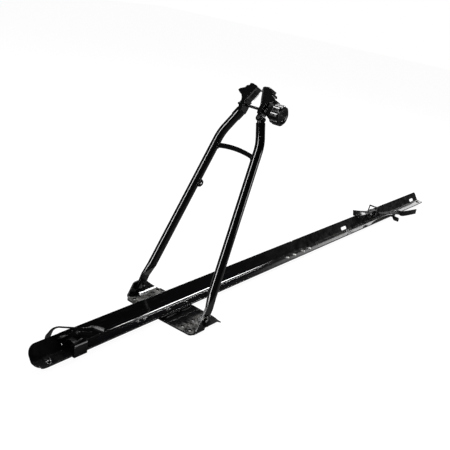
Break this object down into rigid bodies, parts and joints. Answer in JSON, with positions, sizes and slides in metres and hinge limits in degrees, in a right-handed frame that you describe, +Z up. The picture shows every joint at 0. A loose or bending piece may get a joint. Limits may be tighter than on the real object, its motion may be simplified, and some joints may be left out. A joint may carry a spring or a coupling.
{
  "type": "roof bike carrier",
  "caption": "Roof bike carrier: a channel-like wheel rail on a folded base plate, with a hinged A-shaped arm that ends in a screw clamp, and two ratchet straps for the wheels.",
  "frame": {"origin": "middle of the base plate's underside, where it meets the roof bar", "axes": "+X along the wheel rail towards its long end, +Y along the roof bar towards the rail's flared wall, +Z up out of the roof bar"},
  "size_m": [1.4, 0.1672, 0.3868],
  "materials": {
    "black_steel": "gloss",
    "black_casting": "satin",
    "zinc_steel": "zinc plated",
    "pad_rubber": "matte",
    "knob_plastic": "satin",
    "buckle_plastic": "satin",
    "strap_plastic": "satin"
  },
  "bodies": {
    "carrier": {"base_plate": "black_steel", "rail_saddle": "black_steel", "rail_rear_half": "black_steel", "rail_front_half": "black_steel", "splice_plate": "black_steel", "splice_bolts": "zinc_steel", "splice_nuts": "zinc_steel", "rail_bolts": "black_steel", "rail_nuts": "black_steel", "rail_end_bolts": "black_steel", "pivot_bolts": "zinc_steel", "pivot_washers": "zinc_steel", "pivot_nuts": "zinc_steel", "rear_strap": "strap_plastic", "rear_buckle": "buckle_plastic", "rear_lever_pin": "zinc_steel", "front_strap": "strap_plastic", "front_buckle": "buckle_plastic", "front_lever_pin": "zinc_steel", "front_hook": "buckle_plastic"},
    "arm": {"left_tube": "black_steel", "right_tube": "black_steel", "cross_brace": "black_steel", "stay_lug": "black_steel", "fixed_jaw": "black_casting", "fixed_jaw_pad": "pad_rubber", "jaw_lug": "black_casting", "jaw_pin": "zinc_steel", "clamp_nut": "zinc_steel"},
    "moving_jaw": {"moving_jaw": "black_casting", "moving_jaw_pad": "pad_rubber"},
    "thrust_washer": {"thrust_washer": "zinc_steel"},
    "knob": {"knob": "knob_plastic", "knob_cap": "knob_plastic", "spindle": "zinc_steel"},
    "rear_lever": {"rear_lever": "buckle_plastic"},
    "front_lever": {"front_lever": "buckle_plastic"}
  },
  "joints": [
    {"name": "arm_hinge", "type": "hinge", "parent": "carrier", "child": "arm", "pos_m": [-0.0075, 0, 0.0175], "axis": [0, 1, 0], "range_deg": [-50, 60]},
    {"name": "washer_slide", "type": "slide", "parent": "arm", "child": "thrust_washer", "axis": [0, 1, 0], "range_m": [0, 0.00211]},
    {"name": "knob_turn", "type": "hinge", "parent": "thrust_washer", "child": "knob", "pos_m": [0.1349, 0, 0.34814], "axis": [0, 1, 0], "range_deg": [0, 607]},
    {"name": "jaw_pivot", "type": "hinge", "parent": "arm", "child": "moving_jaw", "pos_m": [0.129, -0.02254, 0.3345], "axis": [-0.9185, 0, 0.3955], "range_deg": [0, 8]},
    {"name": "rear_lever_pivot", "type": "hinge", "parent": "carrier", "child": "rear_lever", "pos_m": [-0.2148, -0.001, 0.035], "axis": [0.5664, 0.6336, -0.5269], "range_deg": [-8, 20]},
    {"name": "front_lever_pivot", "type": "hinge", "parent": "carrier", "child": "front_lever", "pos_m": [0.771, -0.001, 0.034], "axis": [0, -1, 0], "range_deg": [-35, 60]}
  ],
  "couplings": [
    {"joint": "washer_slide", "follows": "knob_turn", "m_per_rad": 0.00019894},
    {"joint": "jaw_pivot", "follows": "knob_turn", "ratio": 0.013175}
  ]
}
